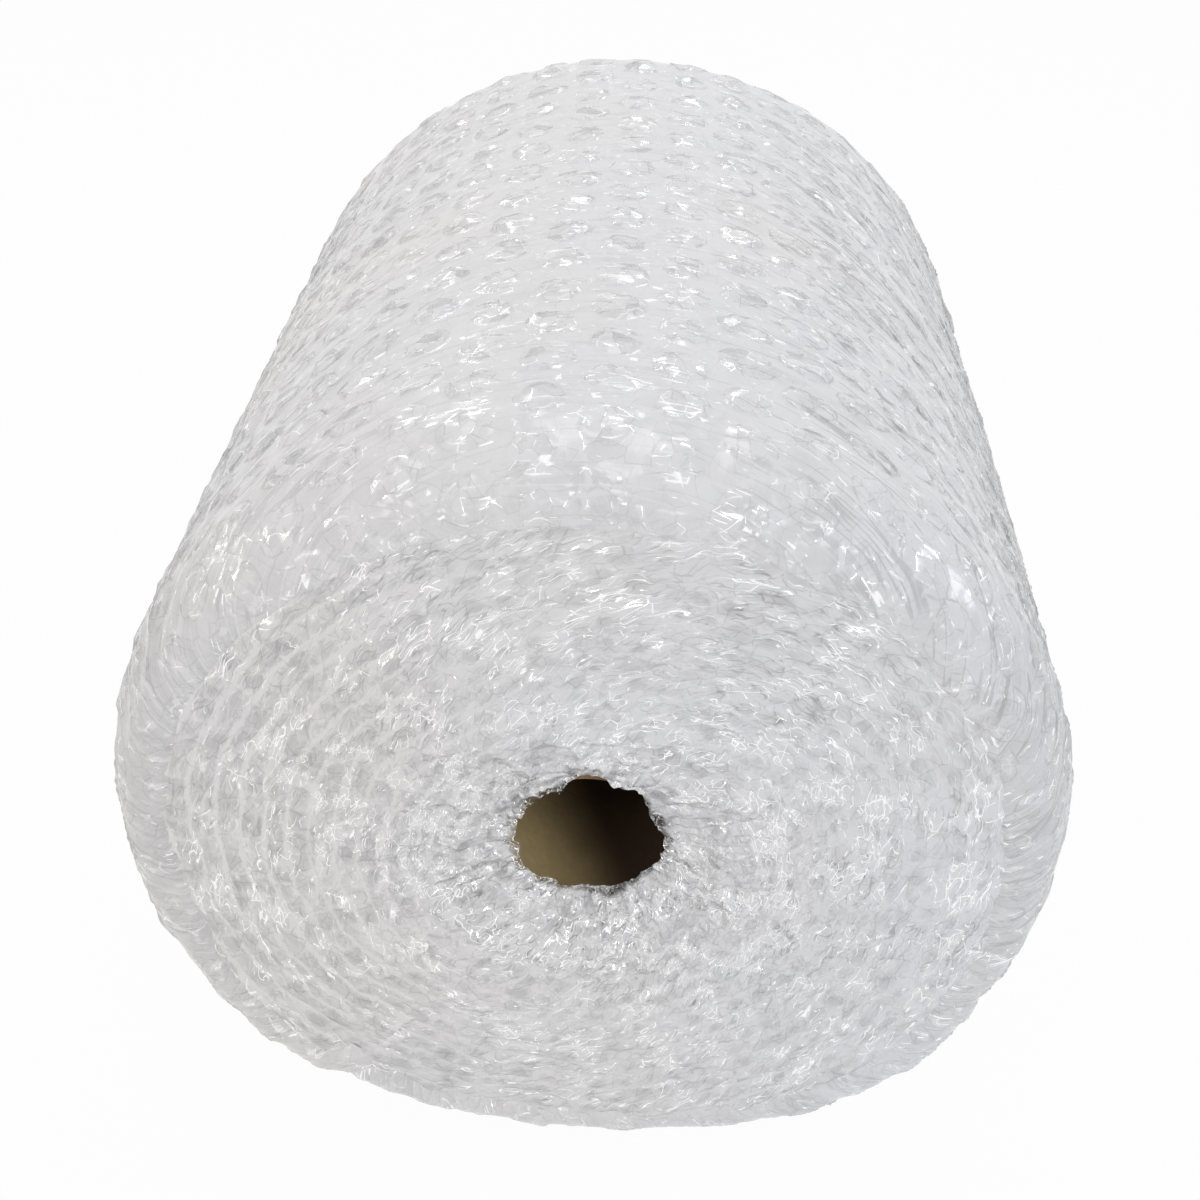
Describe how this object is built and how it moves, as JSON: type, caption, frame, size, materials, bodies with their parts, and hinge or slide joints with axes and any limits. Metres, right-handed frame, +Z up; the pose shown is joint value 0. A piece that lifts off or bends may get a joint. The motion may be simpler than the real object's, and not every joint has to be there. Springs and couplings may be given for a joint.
{
  "type": "bubble film roll",
  "caption": "Roll of clear bubble film wound on a plain cardboard tube, lying on its side, with staggered columns of bubbles round it and the soft edges of its turns at both ends.",
  "frame": {"origin": "centre of the overall box on the floor plane, under the roll's axis and midway between its ends", "axes": "+Y along the roll's axis away from the near end, +Z up, +X to the right seen from the near end"},
  "size_m": [0.4312, 0.4572, 0.4266],
  "materials": {
    "film": "clear thin film, milky where many layers lie over each other, glossy and creased",
    "cardboard": "plain brown spirally wound board, matte"
  },
  "bodies": {
    "root": {"bubble_film": "film", "core_tube": "cardboard"}
  },
  "joints": []
}
